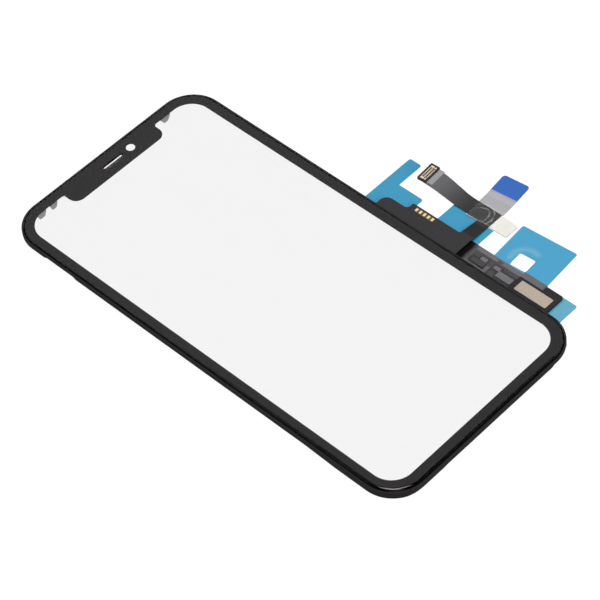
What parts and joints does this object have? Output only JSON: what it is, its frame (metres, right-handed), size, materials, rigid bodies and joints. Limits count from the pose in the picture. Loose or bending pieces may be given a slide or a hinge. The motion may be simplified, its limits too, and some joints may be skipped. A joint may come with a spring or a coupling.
{
  "type": "phone front touch glass assembly",
  "caption": "Notched front glass with touch sensor in a thin carrier frame, with its two flexible circuits, board connector, pull film and blue release liners laid out at one long side.",
  "frame": {"origin": "centre of the rear face of the touch sensor, where a display is bonded", "axes": "+Z out of the front of the glass, +Y to the earpiece end, +X to the side where the flexible circuits leave"},
  "size_m": [0.1067, 0.148, 0.0036],
  "materials": {
    "cover_glass": "clear polished cover glass",
    "printed_border": "black border print seen through the glass",
    "optical_film": "clear optical adhesive and sensor film",
    "seat_adhesive": "black adhesive",
    "frame_plastic": "fine matte black moulded plastic",
    "clip_steel": "bare stainless sheet",
    "flex_black": "black cover layer with a satin sheen",
    "sensor_flex": "dark grey cover layer",
    "contact_gold": "gold plated contacts",
    "connector_plastic": "black moulded connector",
    "connector_metal": "bright plated retainers",
    "stiffener": "bare stiffener plate",
    "shielding_grey": "grey shielding film",
    "pull_film": "clear grey protective film",
    "pull_film_blue": "blue printed film",
    "release_pad": "cream coated release paper",
    "component_dark": "dark moulded chip",
    "component_grey": "grey components and bare strip",
    "cover_tape": "clear tape",
    "foam_black": "black closed-cell foam",
    "gasket_metal": "pale beige plated metal",
    "liner_blue": "blue release liner"
  },
  "bodies": {
    "root": {"carrier_frame": "frame_plastic", "connector_contacts_far": "contact_gold", "connector_contacts_near": "contact_gold", "connector_end_left": "connector_metal", "connector_end_right": "connector_metal", "connector_housing": "connector_plastic", "connector_stiffener": "stiffener", "contact_pad_1": "contact_gold", "contact_pad_2": "contact_gold", "contact_pad_3": "contact_gold", "contact_pad_4": "contact_gold", "contact_pad_5": "contact_gold", "controller_chip": "component_dark", "cover_glass": "cover_glass", "cover_tape": "cover_tape", "elbow_release_pad": "release_pad", "flex_foam_pad": "foam_black", "flex_ground_strip": "component_grey", "foam_gasket": "foam_black", "gasket_plate": "gasket_metal", "long_component": "component_grey", "main_flex": "flex_black", "main_liner": "liner_blue", "optical_adhesive": "optical_film", "printed_border": "printed_border", "pull_film": "pull_film", "pull_film_end": "pull_film_blue", "screw_lug_left": "clip_steel", "screw_lug_right": "clip_steel", "seat_adhesive": "seat_adhesive", "sensor_flex": "sensor_flex", "side_clip_left_lower": "clip_steel", "side_clip_left_upper": "clip_steel", "side_clip_right_lower": "clip_steel", "side_clip_right_upper": "clip_steel", "side_liner": "liner_blue", "small_component_1": "component_grey", "small_component_2": "component_grey", "tail_ground_patch": "shielding_grey", "top_clip_left_inner": "clip_steel", "top_clip_left_outer": "clip_steel", "top_clip_right": "clip_steel", "touch_sensor_film": "optical_film"}
  },
  "joints": []
}
